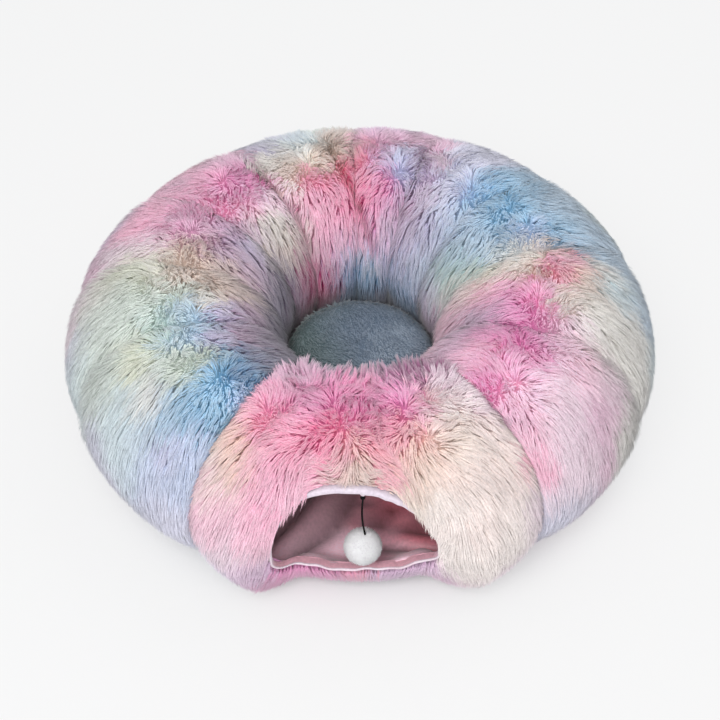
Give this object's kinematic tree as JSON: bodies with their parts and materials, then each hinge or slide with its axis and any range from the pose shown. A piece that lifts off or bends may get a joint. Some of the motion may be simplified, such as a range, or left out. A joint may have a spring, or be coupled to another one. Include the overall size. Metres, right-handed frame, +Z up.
{
  "type": "plush cat tunnel",
  "caption": "Ring-shaped plush cat tunnel with puffed lobes between sprung hoops, an arched entrance with a hanging ball, and a round plush mat in its hole.",
  "frame": {"origin": "on the floor at the middle of the ring, under the mat", "axes": "+Z up, the entrance faces -Y, +X to the right seen from the front"},
  "size_m": [0.7976, 0.7801, 0.238],
  "materials": {
    "dyed_plush": "long pile, tie-dyed",
    "mat_plush": "long pile",
    "lining_satin": "satin",
    "binding_satin": "satin",
    "hoop_steel": "drawn",
    "casing_tape": "woven",
    "cord_elastic": "braided",
    "ball_plush": "short pile",
    "fibre_filling": "loose fibre",
    "base_cloth": "woven"
  },
  "bodies": {
    "tunnel": {"cover_front": "dyed_plush", "cover_panel_01": "dyed_plush", "cover_panel_02": "dyed_plush", "cover_panel_03": "dyed_plush", "cover_panel_04": "dyed_plush", "cover_panel_05": "dyed_plush", "cover_panel_06": "dyed_plush", "cover_panel_07": "dyed_plush", "cover_panel_08": "dyed_plush", "cover_panel_09": "dyed_plush", "cover_panel_10": "dyed_plush", "hoop_01": "hoop_steel", "hoop_02": "hoop_steel", "hoop_03": "hoop_steel", "hoop_04": "hoop_steel", "hoop_05": "hoop_steel", "hoop_06": "hoop_steel", "hoop_07": "hoop_steel", "hoop_08": "hoop_steel", "hoop_09": "hoop_steel", "hoop_10": "hoop_steel", "hoop_11": "hoop_steel", "casing_tape_01": "casing_tape", "casing_tape_02": "casing_tape", "casing_tape_03": "casing_tape", "casing_tape_04": "casing_tape", "casing_tape_05": "casing_tape", "casing_tape_06": "casing_tape", "casing_tape_07": "casing_tape", "casing_tape_08": "casing_tape", "casing_tape_09": "casing_tape", "casing_tape_10": "casing_tape", "casing_tape_11": "casing_tape", "inner_lining": "lining_satin", "entrance_binding": "binding_satin", "cord_tab": "binding_satin"},
    "toy_knot": {"cord_knot": "cord_elastic"},
    "toy": {"toy_cord": "cord_elastic", "toy_ball": "ball_plush"},
    "mat": {"mat_top_cover": "mat_plush", "mat_filling": "fibre_filling", "mat_base_cloth": "base_cloth"}
  },
  "joints": [
    {"name": "toy_fore_aft", "type": "hinge", "parent": "tunnel", "child": "toy_knot", "pos_m": [0.0035, -0.33499, 0.18443], "axis": [1, 0, 0], "range_deg": [-60, 60]},
    {"name": "toy_side_to_side", "type": "hinge", "parent": "toy_knot", "child": "toy", "pos_m": [0.0035, -0.33499, 0.18443], "axis": [0, 1, 0], "range_deg": [-40, 40]},
    {"name": "mat_lift", "type": "slide", "parent": "tunnel", "child": "mat", "axis": [0, 0, 1], "range_m": [0, 0.3]}
  ]
}
